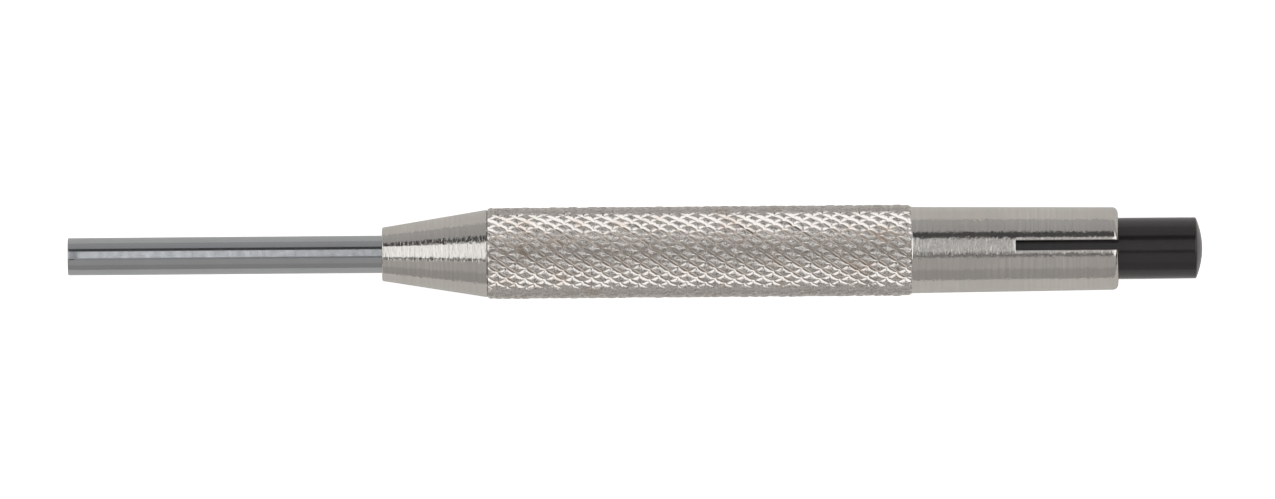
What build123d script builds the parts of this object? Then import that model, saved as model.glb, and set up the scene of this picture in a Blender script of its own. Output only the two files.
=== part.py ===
"""Parallel pin punch with a sliding guide sleeve.

A hardened drive pin is pressed into a black-oxide striking body. Both slide and turn in a nickel-plated
guide sleeve that has a tapered nose, a knurled grip and a slotted collar. A wire ring in a groove of the
body runs in the sleeve's bore and keeps the sleeve captive. Units are millimetres. The tool lies on its
grip along X, with the pin's tip towards -X and the crowned head towards +X. The origin is under the
tool's middle, on the surface that the tool lies on.
"""

import os
from math import cos, radians, sin, sqrt, tan

from build123d import *

# Lengths along the axis, from the pin's tip to the crowned head
PIN_EXPOSED = 41.0
NOSE_LENGTH = 13.8
GRIP_LENGTH = 55.2
COLLAR_LENGTH = 27.0
HEAD_EXPOSED = 11.0

# Outside diameters
PIN_DIAMETER = 4.9
BODY_DIAMETER = 8.0
NOSE_TIP_DIAMETER = 7.05
NOSE_BASE_DIAMETER = 11.45
GRIP_DIAMETER = 12.0
COLLAR_DIAMETER = 11.25
COLLAR_MOUTH_DIAMETER = 10.8

# Sleeve bores: one guides the pin, the other the body, and the collar closes in towards its mouth
GUIDE_BORE_DIAMETER = 5.0
GUIDE_BORE_LENGTH = 35.0
BODY_BORE_DIAMETER = 8.5
MOUTH_BORE_DIAMETER = 8.08
DRILL_POINT_ANGLE = 118.0

# Slot sawn right through the collar from its mouth, facing up and down and turned a little towards +Y
SLOT_LENGTH = 13.4
SLOT_WIDTH = 1.3
SLOT_TURN = radians(5.5)
SAW_RADIUS = 31.5

# Edge breaks
NOSE_EDGE = 0.2
GRIP_FRONT_EDGE = 0.5
GRIP_REAR_EDGE = 0.6
MOUTH_FILLET = 0.7
MOUTH_BORE_EDGE = 0.25
PIN_TIP_EDGE = 0.12
CROWN_FILLET = 0.15

# The crowned end that is struck, and the socket that the pin is pressed into
CROWN_RADIUS = 10.0
PIN_SOCKET_DEPTH = 15.0
BODY_FRONT_FACE_DIAMETER = 5.5
SHOULDER_GAP = 0.15

# Stop ring of round wire, open at one side, and its groove
RING_WIRE = 0.7
RING_OUTER_DIAMETER = 8.44
RING_OPENING_ANGLE = 28.0
GROOVE_DIAMETER = 7.0
GROOVE_WIDTH = 0.8
GROOVE_FROM_BODY_FRONT = 3.4


def half(diameter):
    """The radius that belongs to a diameter."""
    return diameter / 2


def drill_point_height(inner_diameter, outer_diameter):
    """How far a drill's conical point reaches between two diameters."""
    return half(outer_diameter - inner_diameter) / tan(radians(DRILL_POINT_ANGLE / 2))


# Stations along X
SLEEVE_LENGTH = NOSE_LENGTH + GRIP_LENGTH + COLLAR_LENGTH
OVERALL_LENGTH = PIN_EXPOSED + SLEEVE_LENGTH + HEAD_EXPOSED
TIP_X = -OVERALL_LENGTH / 2
NOSE_X = TIP_X + PIN_EXPOSED
GRIP_X = NOSE_X + NOSE_LENGTH
COLLAR_X = GRIP_X + GRIP_LENGTH
MOUTH_X = COLLAR_X + COLLAR_LENGTH
HEAD_X = OVERALL_LENGTH / 2
SLOT_X = MOUTH_X - SLOT_LENGTH
SAW_X = SLOT_X + sqrt(SAW_RADIUS**2 - half(COLLAR_DIAMETER) ** 2)
SHOULDER_X = NOSE_X + GUIDE_BORE_LENGTH
SHOULDER_END_X = SHOULDER_X + drill_point_height(GUIDE_BORE_DIAMETER, BODY_BORE_DIAMETER)

# The body's conical front faces the shoulder left by the drill, one gap away from it
BODY_FRONT_X = SHOULDER_X + drill_point_height(GUIDE_BORE_DIAMETER, BODY_FRONT_FACE_DIAMETER) + SHOULDER_GAP
BODY_CONE_END_X = BODY_FRONT_X + drill_point_height(BODY_FRONT_FACE_DIAMETER, BODY_DIAMETER)
SOCKET_END_X = BODY_FRONT_X + PIN_SOCKET_DEPTH
SOCKET_POINT_X = SOCKET_END_X + drill_point_height(0, PIN_DIAMETER)
RING_X = BODY_FRONT_X + GROOVE_FROM_BODY_FRONT
CROWN_X = HEAD_X - (CROWN_RADIUS - sqrt(CROWN_RADIUS**2 - half(BODY_DIAMETER) ** 2))

# The axis stands half a grip above the surface that the tool lies on
AXIS_HEIGHT = half(GRIP_DIAMETER)
TOOL_AXIS = Axis((0, 0, AXIS_HEIGHT), (1, 0, 0))
AXIAL_PLANE = Plane(origin=(0, 0, AXIS_HEIGHT), x_dir=(1, 0, 0), z_dir=(0, -1, 0))
SLOT_PLANE = Plane(origin=(0, 0, AXIS_HEIGHT), x_dir=(1, 0, 0), z_dir=(0, -cos(SLOT_TURN), sin(SLOT_TURN)))


# Guide sleeve: one turned piece with its bores and the sawn slot
with BuildPart() as guide_sleeve:
    with BuildSketch(AXIAL_PLANE):
        with BuildLine():
            Polyline(
                (NOSE_X, half(GUIDE_BORE_DIAMETER) + NOSE_EDGE),
                (NOSE_X, half(NOSE_TIP_DIAMETER) - NOSE_EDGE),
                (NOSE_X + NOSE_EDGE, half(NOSE_TIP_DIAMETER)),
                (GRIP_X, half(NOSE_BASE_DIAMETER)),
                (GRIP_X + GRIP_FRONT_EDGE, half(GRIP_DIAMETER)),
                (COLLAR_X - GRIP_REAR_EDGE, half(GRIP_DIAMETER)),
                (COLLAR_X, half(COLLAR_DIAMETER)),
                (MOUTH_X, half(COLLAR_MOUTH_DIAMETER)),
                (MOUTH_X, half(MOUTH_BORE_DIAMETER) + MOUTH_BORE_EDGE),
                (MOUTH_X - MOUTH_BORE_EDGE, half(MOUTH_BORE_DIAMETER)),
                (SLOT_X, half(BODY_BORE_DIAMETER)),
                (SHOULDER_END_X, half(BODY_BORE_DIAMETER)),
                (SHOULDER_X, half(GUIDE_BORE_DIAMETER)),
                (NOSE_X + NOSE_EDGE, half(GUIDE_BORE_DIAMETER)),
                close=True,
            )
        make_face()
    revolve(axis=TOOL_AXIS)
    mouth_edges = guide_sleeve.edges().filter_by(GeomType.CIRCLE).group_by(Axis.X)[-1]
    fillet(mouth_edges.sort_by(SortBy.RADIUS)[-1], radius=MOUTH_FILLET)
    # The slot's closed end has the curve of the round saw that enters from the mouth
    with BuildSketch(SLOT_PLANE):
        with Locations((SAW_X, 0)):
            Circle(SAW_RADIUS)
    extrude(amount=half(SLOT_WIDTH), both=True, mode=Mode.SUBTRACT)

# Striking body: crowned head, ring groove, conical front and the pin's blind socket
with BuildPart() as punch_body:
    with BuildSketch(AXIAL_PLANE):
        with BuildLine():
            crown = RadiusArc((CROWN_X, half(BODY_DIAMETER)), (HEAD_X, 0), CROWN_RADIUS)
            Polyline(
                crown @ 1,
                (SOCKET_POINT_X, 0),
                (SOCKET_END_X, half(PIN_DIAMETER)),
                (BODY_FRONT_X, half(PIN_DIAMETER)),
                (BODY_FRONT_X, half(BODY_FRONT_FACE_DIAMETER)),
                (BODY_CONE_END_X, half(BODY_DIAMETER)),
                (RING_X - GROOVE_WIDTH / 2, half(BODY_DIAMETER)),
                (RING_X - GROOVE_WIDTH / 2, half(GROOVE_DIAMETER)),
                (RING_X + GROOVE_WIDTH / 2, half(GROOVE_DIAMETER)),
                (RING_X + GROOVE_WIDTH / 2, half(BODY_DIAMETER)),
                crown @ 0,
            )
        make_face()
    revolve(axis=TOOL_AXIS)
    rims = punch_body.edges().filter_by(lambda edge: edge.is_closed)
    fillet(rims.sort_by(Axis.X)[-1], radius=CROWN_FILLET)

# Drive pin: ground parallel stock with a lightly broken edge at its flat tip
with BuildPart() as drive_pin:
    with BuildSketch(AXIAL_PLANE):
        with BuildLine():
            Polyline(
                (TIP_X, 0),
                (TIP_X, half(PIN_DIAMETER) - PIN_TIP_EDGE),
                (TIP_X + PIN_TIP_EDGE, half(PIN_DIAMETER)),
                (SOCKET_END_X, half(PIN_DIAMETER)),
                (SOCKET_END_X, 0),
                close=True,
            )
        make_face()
    revolve(axis=TOOL_AXIS)

# Stop ring: an open ring of round wire, sprung into the body's groove
with BuildPart() as stop_ring:
    with BuildSketch(AXIAL_PLANE):
        with Locations((RING_X, half(RING_OUTER_DIAMETER - RING_WIRE))):
            Circle(half(RING_WIRE))
    revolve(axis=TOOL_AXIS, revolution_arc=360 - RING_OPENING_ANGLE)

# The punch goes back until the ring jams where the collar's bore has closed in to the ring's size
closed_in = (BODY_BORE_DIAMETER - RING_OUTER_DIAMETER) / (BODY_BORE_DIAMETER - MOUTH_BORE_DIAMETER)
travel = SLOT_X + SLOT_LENGTH * closed_in - RING_X - half(RING_WIRE)
print(f"the ring jams after {travel:.2f} mm of travel")

os.makedirs("parts", exist_ok=True)
pieces = {
    "guide_sleeve": guide_sleeve,
    "punch_body": punch_body,
    "drive_pin": drive_pin,
    "stop_ring": stop_ring,
}
for name, piece in pieces.items():
    piece.part.label = name
    export_step(piece.part, f"parts/{name}.step")
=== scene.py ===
"""Looks of a parallel pin punch with a knurled guide sleeve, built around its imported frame.

The tool lies along X on a pale floor, with the pin's tip towards -X. Angles round its axis are measured
from straight up (+Z) towards +Y. Shapes are worked out in millimetres and stored in metres.
"""

from math import asin, cos, pi, radians, sin, sqrt, tan

import bmesh
import bpy
import numpy as np
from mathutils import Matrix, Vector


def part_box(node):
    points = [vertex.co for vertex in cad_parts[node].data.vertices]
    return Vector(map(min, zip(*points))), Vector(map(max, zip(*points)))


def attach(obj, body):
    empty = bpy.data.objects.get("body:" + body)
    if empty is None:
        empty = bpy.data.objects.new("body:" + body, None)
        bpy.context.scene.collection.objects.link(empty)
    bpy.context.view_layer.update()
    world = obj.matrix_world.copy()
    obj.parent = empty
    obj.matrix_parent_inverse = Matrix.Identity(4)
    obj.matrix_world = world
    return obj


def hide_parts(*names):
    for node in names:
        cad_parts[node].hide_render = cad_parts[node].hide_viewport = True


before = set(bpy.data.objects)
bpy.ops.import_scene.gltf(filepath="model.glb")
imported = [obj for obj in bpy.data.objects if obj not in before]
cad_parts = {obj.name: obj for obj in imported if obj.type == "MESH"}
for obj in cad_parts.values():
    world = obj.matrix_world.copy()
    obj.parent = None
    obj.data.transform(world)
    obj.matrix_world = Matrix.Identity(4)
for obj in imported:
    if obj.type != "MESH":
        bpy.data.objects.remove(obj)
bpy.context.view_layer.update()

MM = 0.001

# ---------------------------------------------------------------- what the frame gives, in millimetres


def node_box(node):
    """A CAD node's lowest and highest corners in millimetres."""
    low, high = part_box(node)
    return low / MM, high / MM


sleeve_low, sleeve_high = node_box("guide_sleeve")
pin_low, pin_high = node_box("drive_pin")
body_low, body_high = node_box("punch_body")
ring_low, ring_high = node_box("stop_ring")

GRIP_RADIUS = (sleeve_high.y - sleeve_low.y) / 2
BODY_RADIUS = (body_high.y - body_low.y) / 2
PIN_RADIUS = (pin_high.y - pin_low.y) / 2
AXIS_HEIGHT = sleeve_low.z + GRIP_RADIUS

TIP_X = pin_low.x
NOSE_X = sleeve_low.x
MOUTH_X = sleeve_high.x
HEAD_X = body_high.x
BODY_FRONT_X = body_low.x
SOCKET_END_X = pin_high.x
RING_X = (ring_low.x + ring_high.x) / 2
RING_WIRE = ring_high.x - ring_low.x

# ---------------------------------------------------------------- sizes that only the source has, as in CAD

GRIP_X = NOSE_X + 13.8
COLLAR_X = GRIP_X + 55.2
SLOT_X = MOUTH_X - 13.4

NOSE_TIP_RADIUS = 3.525
NOSE_BASE_RADIUS = 5.725
COLLAR_RADIUS = 5.625
COLLAR_MOUTH_RADIUS = 5.4
GUIDE_BORE_RADIUS = 2.5
BODY_BORE_RADIUS = 4.25
MOUTH_BORE_RADIUS = 4.04
SHOULDER_X = NOSE_X + 35.0
DRILL_POINT_SLOPE = tan(radians(59))

SLOT_HALF_WIDTH = 0.65
SLOT_TURN = radians(5.5)
SAW_RADIUS = 31.5

CROWN_RADIUS = 10.0
BODY_FRONT_FACE_RADIUS = 2.75
GROOVE_RADIUS = 3.5
GROOVE_HALF_WIDTH = 0.4

# Knurl: diamonds left standing between two crossing families of grooves. On top of the sleeve the falling
# grooves run towards -Y on their way to the head. Rows are the grooves that a straight line from end to end
# of the grip crosses, and half widths and roundings are shares of the distance between two grooves.
KNURL_TEETH = 22
KNURL_STEPS = 8
FLANK_SLOPE = 1.08
FALLING_ROWS = 24.75
FALLING_HALF_WIDTH = 0.38
FALLING_ROUNDINGS = (0.12, 0.08)
RISING_ROWS = 19.75
RISING_HALF_WIDTH = 0.26
RISING_ROUNDINGS = (0.06, 0.08)

# The knurl's ends and its unevenness, in millimetres
CHAMFER_DEPTH = 0.2
CHAMFER_LENGTH = 0.5
ROLL_DEPTH = 0.28
ROLL_LENGTH = 0.7
DEEPEST_WEAR = 0.06
SWELL = 0.02
GRAIN = 0.01
CREST_GRAIN = 0.03
CREST_DEPTH = 0.08
WANDER = 0.06
WANDER_FADE = 1.5

RANDOM_SEED = 5
random = np.random.default_rng(RANDOM_SEED)


# ---------------------------------------------------------------- mesh helpers


def on_axis(x, angle, radius):
    """Points at a distance from the tool's axis, in metres."""
    x, angle, radius = np.broadcast_arrays(x, angle, radius)
    y = radius * np.sin(angle)
    z = AXIS_HEIGHT + radius * np.cos(angle)
    return np.stack([x, y, z], axis=-1).reshape(-1, 3) * MM


def point_outwards(mesh):
    """Turns every face of a closed mesh to face outwards."""
    editable = bmesh.new()
    editable.from_mesh(mesh)
    bmesh.ops.recalc_face_normals(editable, faces=editable.faces)
    editable.to_mesh(mesh)
    editable.free()


def make_piece(name, points, faces, sharp_degrees=35):
    """A smooth-shaded mesh object with sharp edges where its faces turn by more than the angle given."""
    mesh = bpy.data.meshes.new(name)
    mesh.from_pydata([tuple(p) for p in points], [], faces)
    mesh.validate()
    point_outwards(mesh)
    mesh.shade_smooth()
    mesh.set_sharp_from_angle(angle=radians(sharp_degrees))
    piece = bpy.data.objects.new(name, mesh)
    bpy.context.scene.collection.objects.link(piece)
    return piece


def arc(centre_x, centre_r, radius, start_degrees, end_degrees, steps):
    """Profile points on a round edge; 0 degrees points along +X and 90 away from the axis."""
    turns = np.radians(np.linspace(start_degrees, end_degrees, steps))
    return [(centre_x + radius * cos(t), centre_r + radius * sin(t)) for t in turns]


def straight(start, end, step):
    """Profile points along a line, about one step apart, with both its ends."""
    count = max(2, round(np.hypot(end[0] - start[0], end[1] - start[1]) / step) + 1)
    return [tuple(p) for p in np.linspace(start, end, count)]


def lathe(name, profile, segments):
    """Turns a profile of (x, radius) points, which starts and ends on the axis, into a closed solid."""
    angles = np.arange(segments) * 2 * pi / segments
    rings = profile[1:-1]
    points = [on_axis(x, angles, radius) for x, radius in rings]
    points += [on_axis(profile[0][0], 0, 0), on_axis(profile[-1][0], 0, 0)]
    first_pole = len(rings) * segments
    faces = []
    for ring in range(len(rings) - 1):
        for side in range(segments):
            a = ring * segments + side
            b = ring * segments + (side + 1) % segments
            faces.append((a, b, b + segments, a + segments))
    for side in range(segments):
        after = (side + 1) % segments
        last = (len(rings) - 1) * segments
        faces.append((first_pole, after, side))
        faces.append((first_pole + 1, last + side, last + after))
    return make_piece(name, np.concatenate(points), faces)


# ---------------------------------------------------------------- pin and body


def make_pin():
    """The ground drive pin, with a broken edge at its flat tip and at its inner end."""
    edge = 0.12
    profile = [(TIP_X, 0)]
    profile += straight((TIP_X, 0.4), (TIP_X, PIN_RADIUS - edge), 0.4)
    profile += arc(TIP_X + edge, PIN_RADIUS - edge, edge, 165, 105, 4)
    profile += straight((TIP_X + edge, PIN_RADIUS), (SOCKET_END_X - edge, PIN_RADIUS), 1.5)
    profile += [(SOCKET_END_X, PIN_RADIUS - edge), (SOCKET_END_X, 0)]
    return lathe("ground_drive_pin", profile, 160)


def make_body():
    """The black striking body, from its crowned head to the socket in its conical front."""
    edge = 0.18
    crown_x = HEAD_X - CROWN_RADIUS
    crown_end = np.degrees(asin((BODY_RADIUS - edge * 0.6) / CROWN_RADIUS))
    head_corner_x = crown_x + CROWN_RADIUS * cos(radians(crown_end))
    cone_end_x = BODY_FRONT_X + (BODY_RADIUS - BODY_FRONT_FACE_RADIUS) / DRILL_POINT_SLOPE
    socket_point_x = SOCKET_END_X + PIN_RADIUS / DRILL_POINT_SLOPE
    groove_back_x = RING_X + GROOVE_HALF_WIDTH
    groove_front_x = RING_X - GROOVE_HALF_WIDTH
    profile = [(HEAD_X, 0)]
    profile += arc(crown_x, 0, CROWN_RADIUS, 1.5, crown_end, 16)
    profile += arc(head_corner_x - edge, BODY_RADIUS - edge, edge, 60, 90, 4)
    profile += straight((head_corner_x - edge - 0.1, BODY_RADIUS), (groove_back_x, BODY_RADIUS), 1.5)
    profile += [(groove_back_x, GROOVE_RADIUS), (groove_front_x, GROOVE_RADIUS)]
    profile += straight((groove_front_x, BODY_RADIUS), (cone_end_x, BODY_RADIUS), 1.0)
    profile += [(BODY_FRONT_X, BODY_FRONT_FACE_RADIUS), (BODY_FRONT_X, PIN_RADIUS)]
    profile += [(SOCKET_END_X, PIN_RADIUS), (socket_point_x, 0)]
    return lathe("crowned_striking_body", profile, 160)


# ---------------------------------------------------------------- knurled guide sleeve

SLOT_CELLS = 4
WALL_CELLS = 56
HALF_COLUMNS = SLOT_CELLS + WALL_CELLS
COLUMNS = 2 * HALF_COLUMNS
RIM_ROUND = 0.1


def slot_angle(radius):
    """Half the angle that the slot takes up at a radius."""
    return np.arcsin(SLOT_HALF_WIDTH / radius)


def column_angles(radius):
    """The angles of one ring's vertices: two slots, and the two walls between them."""
    rim = slot_angle(radius)
    rim_steps = np.array([0.03, 0.06, RIM_ROUND]) / radius
    slot = np.linspace(-rim, rim, SLOT_CELLS + 1)
    plain_cells = WALL_CELLS - 2 * len(rim_steps)
    plain = np.linspace(rim + rim_steps[-1], pi - rim - rim_steps[-1], plain_cells + 1)
    wall = np.concatenate([rim + rim_steps[:-1], plain, (pi - rim - rim_steps[:-1])[::-1]])
    half = np.concatenate([slot, wall])
    return SLOT_TURN + np.concatenate([half, half + pi])


def rim_drop(x, angle, radius):
    """How far the collar's surface rolls down at the slot's edges."""
    across = np.abs(radius * np.sin(angle - SLOT_TURN)) - SLOT_HALF_WIDTH
    along = SLOT_X - x
    away = np.hypot(np.maximum(across, 0), np.maximum(along, 0))
    inside = np.clip(RIM_ROUND - away, 0, RIM_ROUND)
    return RIM_ROUND - np.sqrt(RIM_ROUND**2 - inside**2)


def saw_end_x(radius):
    """Where the round saw's cut ends at a distance from the axis."""
    return SLOT_X + sqrt(SAW_RADIUS**2 - COLLAR_RADIUS**2) - sqrt(SAW_RADIUS**2 - radius**2)


def sleeve_profile():
    """The outer and then the inner profile, and the numbers of three of its points.

    They are the last point before the knurl, and the points where the slot starts outside and ends inside.
    """
    nose_edge = 0.2
    mouth_fillet = 0.7
    mouth_chamfer = 0.25
    taper = (COLLAR_MOUTH_RADIUS - COLLAR_RADIUS) / (MOUTH_X - COLLAR_X)
    slot_start_radius = COLLAR_RADIUS + taper * (SLOT_X - COLLAR_X)
    outer = [(NOSE_X, GUIDE_BORE_RADIUS + nose_edge), (NOSE_X, NOSE_TIP_RADIUS - nose_edge)]
    outer += arc(NOSE_X + nose_edge, NOSE_TIP_RADIUS - nose_edge, nose_edge, 160, 100, 4)
    outer += straight((NOSE_X + nose_edge, NOSE_TIP_RADIUS), (GRIP_X - 0.16, NOSE_BASE_RADIUS - 0.02), 0.9)

    # A shallow relief before the knurl, and a small fillet behind it
    outer += [(GRIP_X - 0.1, NOSE_BASE_RADIUS - 0.07), (GRIP_X, NOSE_BASE_RADIUS - 0.16)]
    knurl_front = len(outer) - 1
    outer += [(COLLAR_X + 0.03, COLLAR_RADIUS + 0.06), (COLLAR_X + 0.1, COLLAR_RADIUS + 0.025)]
    outer += [(COLLAR_X + 0.2, COLLAR_RADIUS + 0.006)]
    outer += straight((COLLAR_X + 0.3, COLLAR_RADIUS), (SLOT_X - RIM_ROUND, slot_start_radius), 0.9)

    # The slot, the collar's rounded mouth and the bores
    outer += [(SLOT_X - 0.06, slot_start_radius), (SLOT_X - 0.03, slot_start_radius)]
    slot_outer = len(outer)
    fillet_start = (MOUTH_X - mouth_fillet, COLLAR_MOUTH_RADIUS)
    outer += straight((SLOT_X, slot_start_radius), fillet_start, 0.9)
    outer += arc(MOUTH_X - mouth_fillet, COLLAR_MOUTH_RADIUS - mouth_fillet, mouth_fillet, 80, 0, 7)
    inner = [(MOUTH_X, MOUTH_BORE_RADIUS + mouth_chamfer), (MOUTH_X - mouth_chamfer, MOUTH_BORE_RADIUS)]
    inner_end = (saw_end_x(BODY_BORE_RADIUS), BODY_BORE_RADIUS)
    inner += straight((MOUTH_X - 0.3, MOUTH_BORE_RADIUS), inner_end, 1.5)
    slot_inner = len(outer) + len(inner) - 1
    shoulder_end_x = SHOULDER_X + (BODY_BORE_RADIUS - GUIDE_BORE_RADIUS) / DRILL_POINT_SLOPE
    inner += straight((inner_end[0] - 1, BODY_BORE_RADIUS), (shoulder_end_x, BODY_BORE_RADIUS), 6)
    inner += straight((SHOULDER_X, GUIDE_BORE_RADIUS), (NOSE_X + nose_edge, GUIDE_BORE_RADIUS), 6)
    return outer + inner, knurl_front, slot_outer, slot_inner


def turned_sleeve():
    """The sleeve's turned and bored surfaces with the sawn slots, open where the knurl goes."""
    profile, knurl_front, slot_outer, slot_inner = sleeve_profile()
    points = []
    for station, (x, radius) in enumerate(profile):
        angles = column_angles(radius)
        is_outer = station <= slot_inner and radius > BODY_BORE_RADIUS + 0.5
        surface = radius - rim_drop(x, angles, radius) if is_outer else radius
        points.append(on_axis(x, angles, surface))
    in_slot = [column % HALF_COLUMNS < SLOT_CELLS for column in range(COLUMNS)]
    faces = []
    for station in range(len(profile)):
        if station == knurl_front:
            continue
        here = station * COLUMNS
        after = (station + 1) % len(profile) * COLUMNS
        sawn = slot_outer <= station < slot_inner
        for column in range(COLUMNS):
            if sawn and in_slot[column]:
                continue
            beside = (column + 1) % COLUMNS
            faces.append((here + column, here + beside, after + beside, after + column))
    for slot in (0, HALF_COLUMNS):
        for column in (slot, slot + SLOT_CELLS):
            faces.append(tuple(s * COLUMNS + column for s in range(slot_outer, slot_inner + 1)))
        for column in range(slot, slot + SLOT_CELLS):
            outer = slot_outer * COLUMNS + column
            inner = slot_inner * COLUMNS + column
            faces.append((outer, outer + 1, inner + 1, inner))
    return np.concatenate(points), faces, knurl_front


def smooth_noise(x, angle, scale_mm, seed):
    """Gentle random waves between about -1 and 1, without a seam round the sleeve."""
    waves = np.random.default_rng(seed)
    wave_count = 6
    most_turns = max(2, round(2 * pi * GRIP_RADIUS / scale_mm))
    total = np.zeros_like(x + angle)
    for _ in range(wave_count):
        turns = waves.integers(0, most_turns)
        stretch = waves.uniform(0.3, 1)
        start = waves.uniform(0, 2 * pi)
        total += np.sin(2 * pi * x * stretch / scale_mm + turns * angle + start)
    return total / (wave_count / 2)


def groove(count, rows, half_width, roundings):
    """Height of a family of V grooves, one at each whole number of the count.

    The roundings are those of the upper edge before each groove and of the one after it.
    """
    offset = count - np.round(count)
    inward = np.maximum(half_width - np.abs(offset), 0)
    rounding = np.where(offset < 0, *roundings)
    rounded = inward**2 / (2 * rounding)
    fall = np.where(inward < rounding, rounded, inward - rounding / 2)
    across = np.hypot(KNURL_TEETH / (2 * pi * GRIP_RADIUS), rows / (COLLAR_X - GRIP_X))
    return -fall * FLANK_SLOPE / across


def knurl_radius(x, angle, u, v):
    """The knurled surface's distance from the axis, where u and v count the two families of grooves."""
    falling = groove(u, FALLING_ROWS, FALLING_HALF_WIDTH, FALLING_ROUNDINGS)
    rising = groove(v, RISING_ROWS, RISING_HALF_WIDTH, RISING_ROUNDINGS)
    lower = np.minimum(falling, rising)

    # Each diamond is worn by its own amount, and the crests are rough
    column = np.floor((u + v) / 2).astype(int) % KNURL_TEETH
    row = np.floor(u - v + 0.5).astype(int)
    worn = random.uniform(0, DEEPEST_WEAR, (row.max() + 1, KNURL_TEETH))[row, column]
    radius = GRIP_RADIUS + np.minimum(lower, -worn)
    radius -= SWELL * (1 + smooth_noise(x, angle, 5, 3)) / 2
    crests = np.clip((lower + CREST_DEPTH) / CREST_DEPTH, 0, 1)
    radius -= random.uniform(0, GRAIN, radius.shape) + crests * random.uniform(0, CREST_GRAIN, radius.shape)

    # The front edge is chamfered and the rear edge rolled over
    front = GRIP_RADIUS - CHAMFER_DEPTH * (1 - np.clip((x - GRIP_X) / CHAMFER_LENGTH, 0, 1))
    rear = GRIP_RADIUS - ROLL_DEPTH * np.clip(1 - (COLLAR_X - x) / ROLL_LENGTH, 0, 1) ** 2.2
    return np.minimum(radius, np.minimum(front, rear))


def knurl_faces(u, v):
    """Triangles between the lines of vertices, where every second line is half a step further round."""
    line_count, line_points = u.shape
    faces = []
    for line in range(line_count):
        for place in range(line_points):
            next_place = (place + 1) % line_points
            left = line * line_points + place
            right = line * line_points + next_place
            middle = next_place if line % 2 else place
            before = (line - 1) * line_points + middle
            after = (line + 1) * line_points + middle
            if line == 0:
                faces.append((left, right, after))
                continue
            if line == line_count - 1:
                faces.append((left, before, right))
                continue

            # Each cell is split along the way its ridge or valley runs
            centre_u = (u.flat[left] + 0.5 / KNURL_STEPS) % 1
            centre_v = (v.flat[left] + 0.5 / KNURL_STEPS) % 1
            if (centre_u < 0.5) == (centre_v < 0.5):
                faces += [(left, before, right), (left, right, after)]
            else:
                faces += [(left, before, after), (before, right, after)]
    return faces


def knurl_patch():
    """The knurl's vertices and faces, with the vertex rings at its two ends.

    The vertices lie along both families of grooves, so that every groove and ridge is a line of the mesh.
    Each line of vertices round the sleeve is also turned a little against the one before it, because the
    two families aren't equally steep.
    """
    line_count = round(KNURL_STEPS * (FALLING_ROWS + RISING_ROWS)) + 1
    line_points = KNURL_STEPS * KNURL_TEETH
    line, place = np.meshgrid(np.arange(line_count), np.arange(line_points), indexing="ij")
    turn_step = 2 * place + line % 2
    u = (turn_step + line) / (2 * KNURL_STEPS)
    v = (turn_step - line) / (2 * KNURL_STEPS)
    x = GRIP_X + line * (COLLAR_X - GRIP_X) / (line_count - 1)
    twist = (RISING_ROWS - FALLING_ROWS) / 2 * line / (line_count - 1)
    angle = turn_step * 2 * pi / (2 * line_points) + twist * 2 * pi / KNURL_TEETH
    radius = knurl_radius(x, angle, u, v)

    # The grooves wander a little, but not at the ends
    freedom = np.clip(np.minimum(x - GRIP_X, COLLAR_X - x) / WANDER_FADE, 0, 1)
    moved_x = x + freedom * WANDER * smooth_noise(x, angle, 6, 11)
    moved_angle = angle + freedom * WANDER * smooth_noise(x, angle, 5, 12) / GRIP_RADIUS
    points = on_axis(moved_x, moved_angle, radius)

    front_ring = np.arange(line_points)
    rear_ring = (line_count - 1) * line_points + front_ring
    return points, knurl_faces(u, v), front_ring, rear_ring


def stitch(points, ring_a, ring_b):
    """Triangles that join two rings of vertices round the axis."""
    def by_angle(ring):
        angle = np.arctan2(points[ring, 1], points[ring, 2] - AXIS_HEIGHT * MM) % (2 * pi)
        order = np.argsort(angle)
        return np.asarray(ring)[order], np.append(angle[order], angle[order][0] + 2 * pi)

    ring_a, angles_a = by_angle(ring_a)
    ring_b, angles_b = by_angle(ring_b)
    faces = []
    a = b = 0
    while a < len(ring_a) or b < len(ring_b):
        here_a = int(ring_a[a % len(ring_a)])
        here_b = int(ring_b[b % len(ring_b)])
        if b >= len(ring_b) or (a < len(ring_a) and angles_a[a + 1] <= angles_b[b + 1]):
            a += 1
            faces.append((here_a, int(ring_a[a % len(ring_a)]), here_b))
        else:
            b += 1
            faces.append((here_b, here_a, int(ring_b[b % len(ring_b)])))
    return faces


def make_sleeve():
    """The whole guide sleeve as one closed skin, and the number of its first knurled face."""
    turned_points, turned_faces, knurl_front = turned_sleeve()
    patch_points, patch_faces, front_ring, rear_ring = knurl_patch()
    offset = len(turned_points)
    points = np.concatenate([turned_points, patch_points])
    patch_faces = [tuple(int(index) + offset for index in face) for face in patch_faces]
    nose_ring = knurl_front * COLUMNS + np.arange(COLUMNS)
    collar_ring = nose_ring + COLUMNS
    joins = stitch(points, nose_ring, front_ring + offset) + stitch(points, rear_ring + offset, collar_ring)
    piece = make_piece("knurled_guide_sleeve", points, turned_faces + joins + patch_faces)
    return piece, len(turned_faces) + len(joins)


# ---------------------------------------------------------------- materials


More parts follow.
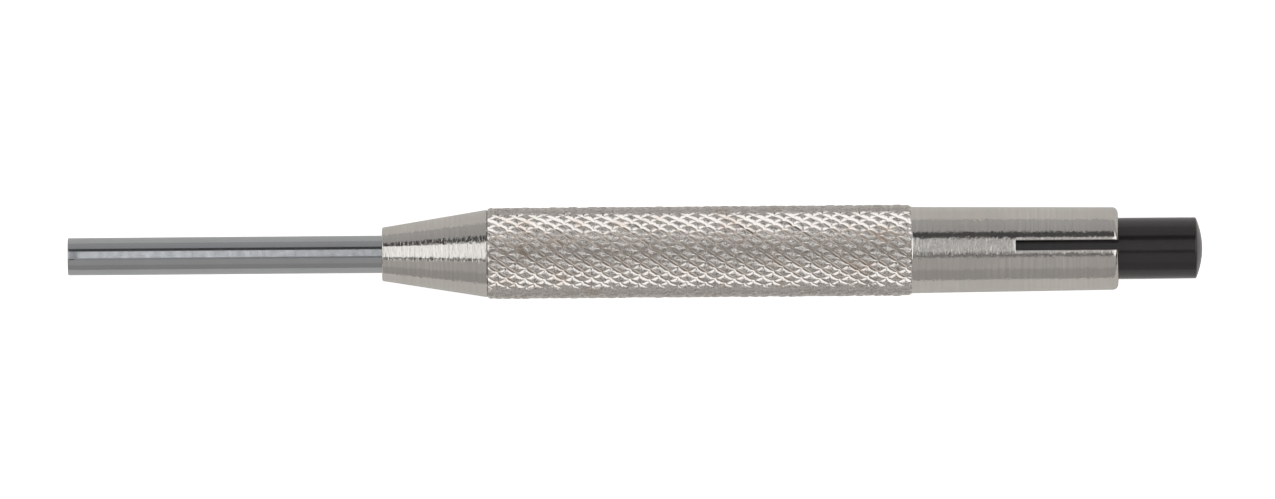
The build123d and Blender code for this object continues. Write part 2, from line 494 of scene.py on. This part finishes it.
class Shader:
    """A procedural material on one principled surface."""

    def __init__(self, name, **surface):
        self.material = bpy.data.materials.new(name)
        self.material.use_nodes = True
        self.tree = self.material.node_tree
        self.surface = self.tree.nodes["Principled BSDF"]
        for socket, value in surface.items():
            self.surface.inputs[socket.replace("_", " ")].default_value = value
        self.place = self.add("TexCoord").outputs["Object"]

    def add(self, kind, inputs=None, **settings):
        """A new node with its settings, and its inputs linked or set."""
        node = self.tree.nodes.new("ShaderNode" + kind)
        for name, value in settings.items():
            setattr(node, name, value)
        for socket, value in (inputs or {}).items():
            if isinstance(value, bpy.types.NodeSocket):
                self.tree.links.new(value, node.inputs[socket])
            else:
                node.inputs[socket].default_value = value
        return node

    def noise(self, per_mm, detail=2.0, roughness=0.5):
        """Noise with its own fineness along each axis, in waves per millimetre."""
        scaled = self.add("VectorMath", {0: self.place, 1: [n / MM for n in per_mm]}, operation="MULTIPLY")
        settings = {"Vector": scaled.outputs[0], "Scale": 1.0, "Detail": detail, "Roughness": roughness}
        return self.add("TexNoise", settings).outputs["Fac"]

    def spread(self, value, low, high, out_low=0.0, out_high=1.0):
        """A value stretched from one range to another, and held inside it."""
        ends = {"Value": value, "From Min": low, "From Max": high, "To Min": out_low, "To Max": out_high}
        return self.add("MapRange", ends).outputs["Result"]

    def math(self, operation, a, b):
        """One sum, product or other operation on two values."""
        return self.add("Math", {0: a, 1: b}, operation=operation).outputs[0]

    def mix(self, share, first, second):
        """A colour between two colours."""
        mixer = self.add("Mix", {"Factor": share}, data_type="RGBA")
        for socket, value in (("A_Color", first), ("B_Color", second)):
            target = next(s for s in mixer.inputs if s.identifier == socket)
            if isinstance(value, bpy.types.NodeSocket):
                self.tree.links.new(value, target)
            else:
                target.default_value = (*value, 1)
        return next(s for s in mixer.outputs if s.identifier == "Result_Color")

    def bump(self, height, depth_mm, under=None):
        """Relief of the depth given, on top of any relief under it."""
        inputs = {"Height": height, "Distance": depth_mm * MM, "Strength": 1.0}
        if under is not None:
            inputs["Normal"] = under
        return self.add("Bump", inputs).outputs["Normal"]

    def finish(self, colour=None, roughness=None, relief=None):
        """Links what varies to the surface and gives the material."""
        for socket, value in (("Base Color", colour), ("Roughness", roughness), ("Normal", relief)):
            if value is not None:
                self.tree.links.new(value, self.surface.inputs[socket])
        return self.material


def turned_nickel():
    """Bright nickel over turned steel: fine rings round the axis and a faint warm cloudiness."""
    shader = Shader("turned_nickel", Metallic=1.0)
    cloud = shader.spread(shader.noise((0.12, 0.25, 0.25)), 0.35, 0.65)
    colour = shader.mix(cloud, (0.60, 0.565, 0.525), (0.65, 0.62, 0.585))
    roughness = shader.spread(shader.noise((0.8, 0.5, 0.5)), 0.3, 0.7, 0.1, 0.15)
    rings = shader.noise((3.2, 0.1, 0.1), detail=4, roughness=0.7)
    colour = shader.mix(shader.spread(rings, 0.35, 0.65), (0.55, 0.53, 0.505), colour)
    chatter = shader.noise((3.0, 1.1, 1.1), detail=2)
    relief = shader.bump(chatter, 0.04, shader.bump(rings, 0.02))
    return shader.finish(colour, roughness, relief)


def knurled_nickel():
    """The same plate over rolled diamonds: pitted, with painted shade in the pits and tarnish caught in
    places.
    """
    shader = Shader("knurled_nickel", Metallic=1.0)
    stain = shader.spread(shader.noise((0.3, 0.4, 0.4), detail=3), 0.56, 0.74)
    plate = shader.mix(shader.noise((1.5, 1.5, 1.5)), (0.58, 0.545, 0.515), (0.675, 0.64, 0.605))
    colour = shader.mix(stain, plate, (0.56, 0.495, 0.445))

    # Painted shade in the pits: dark spots of colour on the crests, fading towards the grooves, where the
    # pits are in shade; the pits' depth itself is the bump below
    axis_place = (0, 0, AXIS_HEIGHT * MM)
    off_axis = shader.add("VectorMath", {0: shader.place, 1: axis_place}, operation="SUBTRACT")
    across = shader.add("VectorMath", {0: off_axis.outputs[0], 1: (0, 1, 1)}, operation="MULTIPLY")
    radius = shader.add("VectorMath", {0: across.outputs[0]}, operation="LENGTH").outputs["Value"]
    crest = shader.spread(radius, (GRIP_RADIUS - 0.2) * MM, (GRIP_RADIUS - 0.08) * MM, 0.1, 1.0)
    grain = shader.noise((4.0, 4.0, 4.0), detail=3, roughness=0.7)
    painted_pit_shade = shader.math("MULTIPLY", shader.spread(grain, 0.5, 0.6), crest)
    # Painted shade: the pit spots' colour is darkened to stand in for the shade inside them
    colour = shader.mix(painted_pit_shade, colour, (0.27, 0.252, 0.236))
    roughness = shader.spread(shader.noise((3, 3, 3)), 0.3, 0.7, 0.1, 0.18)
    level_grain = shader.math("SUBTRACT", grain, 0.5)
    relief = shader.bump(shader.math("MULTIPLY", level_grain, crest), -0.12)
    return shader.finish(colour, roughness, relief)


def ground_steel():
    """Hardened steel with short, fine grinding lines round it."""
    shader = Shader("ground_steel", Metallic=1.0)
    colour = shader.mix(shader.noise((0.3, 0.3, 0.3)), (0.41, 0.42, 0.435), (0.45, 0.46, 0.475))
    roughness = shader.spread(shader.noise((1, 0.6, 0.6)), 0.3, 0.7, 0.1, 0.16)
    lines = shader.noise((5.0, 1.1, 1.1), detail=3, roughness=0.7)
    relief = shader.bump(lines, 0.002)
    return shader.finish(colour, roughness, relief)


def black_oxide():
    """Satin black oxide over fine turning rings."""
    shader = Shader("black_oxide", Metallic=0.0, IOR=1.6)
    colour = shader.mix(shader.noise((0.4, 0.4, 0.4)), (0.009, 0.0065, 0.0075), (0.013, 0.0095, 0.0105))
    roughness = shader.spread(shader.noise((1.2, 0.6, 0.6)), 0.3, 0.7, 0.14, 0.2)
    rings = shader.noise((5.0, 0.12, 0.12), detail=3, roughness=0.6)
    return shader.finish(colour, roughness, shader.bump(rings, 0.005))


def spring_wire():
    """Drawn spring wire."""
    shader = Shader("spring_wire", Metallic=1.0)
    colour = shader.mix(shader.noise((2, 2, 2)), (0.3, 0.3, 0.31), (0.36, 0.36, 0.37))
    roughness = shader.spread(shader.noise((3, 3, 3)), 0.3, 0.7, 0.3, 0.4)
    return shader.finish(colour, roughness, shader.bump(shader.noise((4, 4, 4)), 0.003))


# ---------------------------------------------------------------- the pieces on their bodies

sleeve, knurl_first_face = make_sleeve()
sleeve.data.materials.append(turned_nickel())
sleeve.data.materials.append(knurled_nickel())
face_materials = np.zeros(len(sleeve.data.polygons), dtype=np.int32)
face_materials[knurl_first_face:] = 1
sleeve.data.polygons.foreach_set("material_index", face_materials)
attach(sleeve, "sleeve")
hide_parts("guide_sleeve")

body = make_body()
body.data.materials.append(black_oxide())
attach(body, "punch")
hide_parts("punch_body")

pin = make_pin()
pin.data.materials.append(ground_steel())
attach(pin, "punch")
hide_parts("drive_pin")

stop_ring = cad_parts["stop_ring"]
stop_ring.data.materials.clear()
stop_ring.data.materials.append(spring_wire())

# ---------------------------------------------------------------- floor, light and camera

FLOOR_SIZE = 8.0
FLOOR_COLOUR = (0.85, 0.835, 0.81, 1)
FLOOR_GLOW = 0.72
SURROUNDINGS = 0.08
VIEW_WIDTH = 0.16635
CAMERA_DISTANCE = 3.0
CAMERA_ROLL = radians(-0.457)
CAMERA_SHIFT_X = 0.000324
CAMERA_SHIFT_Y = 0.00036
SENSOR_WIDTH = 36.0
PANEL_DISTANCE = 2.0
WHITE = (1.0, 1.0, 1.0)
COOL = (0.98, 0.99, 1.0)
WARM = (1.0, 0.975, 0.95)


def make_floor():
    """A pale floor, which the camera sees as if it were also lit from inside, like a light table."""
    half = FLOOR_SIZE / 2
    mesh = bpy.data.meshes.new("floor")
    corners = [(-half, -half, 0), (half, -half, 0), (half, half, 0), (-half, half, 0)]
    mesh.from_pydata(corners, [], [(0, 1, 2, 3)])
    floor = bpy.data.objects.new("floor", mesh)
    bpy.context.scene.collection.objects.link(floor)
    material = bpy.data.materials.new("light_table")
    material.use_nodes = True
    tree = material.node_tree
    tree.nodes.clear()
    output = tree.nodes.new("ShaderNodeOutputMaterial")
    both = tree.nodes.new("ShaderNodeAddShader")
    diffuse = tree.nodes.new("ShaderNodeBsdfDiffuse")
    diffuse.inputs["Color"].default_value = FLOOR_COLOUR
    glow = tree.nodes.new("ShaderNodeEmission")
    seen = tree.nodes.new("ShaderNodeLightPath")
    strength = tree.nodes.new("ShaderNodeMath")
    strength.operation = "MULTIPLY"
    strength.inputs[1].default_value = FLOOR_GLOW
    tree.links.new(seen.outputs["Is Camera Ray"], strength.inputs[0])
    tree.links.new(strength.outputs[0], glow.inputs["Strength"])
    tree.links.new(diffuse.outputs[0], both.inputs[0])
    tree.links.new(glow.outputs[0], both.inputs[1])
    tree.links.new(both.outputs[0], output.inputs["Surface"])
    mesh.materials.append(material)


def soft_panel(name, from_degrees, to_degrees, left, right, radiance, colour):
    """A soft light panel round the tool's axis, between two angles from straight up towards +Y.

    Left and right say how far it reaches along X, as slopes from the tool. Radiance 1 is plain white.
    """
    middle = radians(from_degrees + to_degrees) / 2
    width = 2 * PANEL_DISTANCE * tan(radians(to_degrees - from_degrees) / 2)
    length = (right - left) * PANEL_DISTANCE
    light = bpy.data.lights.new(name, "AREA")
    light.shape = "RECTANGLE"
    light.size = length
    light.size_y = width
    light.energy = radiance * pi * length * width
    light.color = colour
    panel = bpy.data.objects.new(name, light)
    direction = ((left + right) / 2, sin(middle), cos(middle))
    panel.location = [PANEL_DISTANCE * part for part in direction]
    panel.rotation_euler = (-middle, 0, 0)
    panel.visible_camera = False
    bpy.context.scene.collection.objects.link(panel)


def make_world():
    """Dim surroundings for the metal to reflect, and white for the camera."""
    world = bpy.data.worlds.new("studio")
    bpy.context.scene.world = world
    world.use_nodes = True
    tree = world.node_tree
    background = tree.nodes["Background"]
    seen = tree.nodes.new("ShaderNodeLightPath")
    strength = tree.nodes.new("ShaderNodeMapRange")
    strength.inputs["To Min"].default_value = SURROUNDINGS
    strength.inputs["To Max"].default_value = 1.0
    tree.links.new(seen.outputs["Is Camera Ray"], strength.inputs["Value"])
    tree.links.new(strength.outputs["Result"], background.inputs["Strength"])
    background.inputs["Color"].default_value = (1, 1, 1, 1)


def make_camera():
    """A long lens straight above the tool."""
    camera_data = bpy.data.cameras.new("camera")
    camera_data.sensor_width = SENSOR_WIDTH
    camera_data.lens = SENSOR_WIDTH * CAMERA_DISTANCE / VIEW_WIDTH
    camera_data.clip_end = 100
    camera = bpy.data.objects.new("camera", camera_data)
    camera.location = (CAMERA_SHIFT_X, CAMERA_SHIFT_Y, AXIS_HEIGHT * MM + CAMERA_DISTANCE)
    camera.rotation_euler = (0, 0, CAMERA_ROLL)
    bpy.context.scene.collection.objects.link(camera)
    bpy.context.scene.camera = camera


make_floor()
make_world()
for name, from_degrees, to_degrees, left, right, radiance, colour in (
    ("overhead_far_left", -25, 50, -3.0, -0.6, 1.52, COOL),
    ("overhead_left", -13.5, 32, -0.6, -0.2, 1.3, COOL),
    ("overhead_beside_pin", -13.5, 32, -0.2, -0.075, 0.35, COOL),
    ("overhead_over_pin", -10, 31, -0.075, -0.024, 1.45, COOL),
    ("overhead_over_grip", -9, 32, -0.024, 0.03, 0.08, WHITE),
    ("overhead_over_collar", -7, 19, 0.03, 0.12, 0.56, WHITE),
    ("overhead_behind_collar", 19, 31, 0.03, 0.12, 0.42, WHITE),
    ("overhead_beside_collar", -13.5, 32, 0.12, 0.2, 0.35, WHITE),
    ("overhead_right", -13.5, 32, 0.2, 0.6, 1.3, COOL),
    ("overhead_far_right", -25, 50, 0.6, 3.0, 1.52, COOL),
    ("front_over_pin", -20.5, -10, -0.12, -0.024, 0.42, WHITE),
    ("front_over_collar", -20.5, -16, 0.03, 0.12, 0.42, WHITE),
    ("front_upper", -55, -20.5, -1.6, 1.6, 0.45, WARM),
    ("front_lower", -92, -55, -1.6, 1.6, 0.35, WARM),
    ("back_upper", 49, 70, -1.6, 1.6, 0.4, WHITE),
    ("back_lower", 70, 101, -1.6, 1.6, 0.43, WHITE),
):
    soft_panel(name, from_degrees, to_degrees, left, right, radiance, colour)
make_camera()
bpy.context.scene.view_settings.view_transform = "Standard"
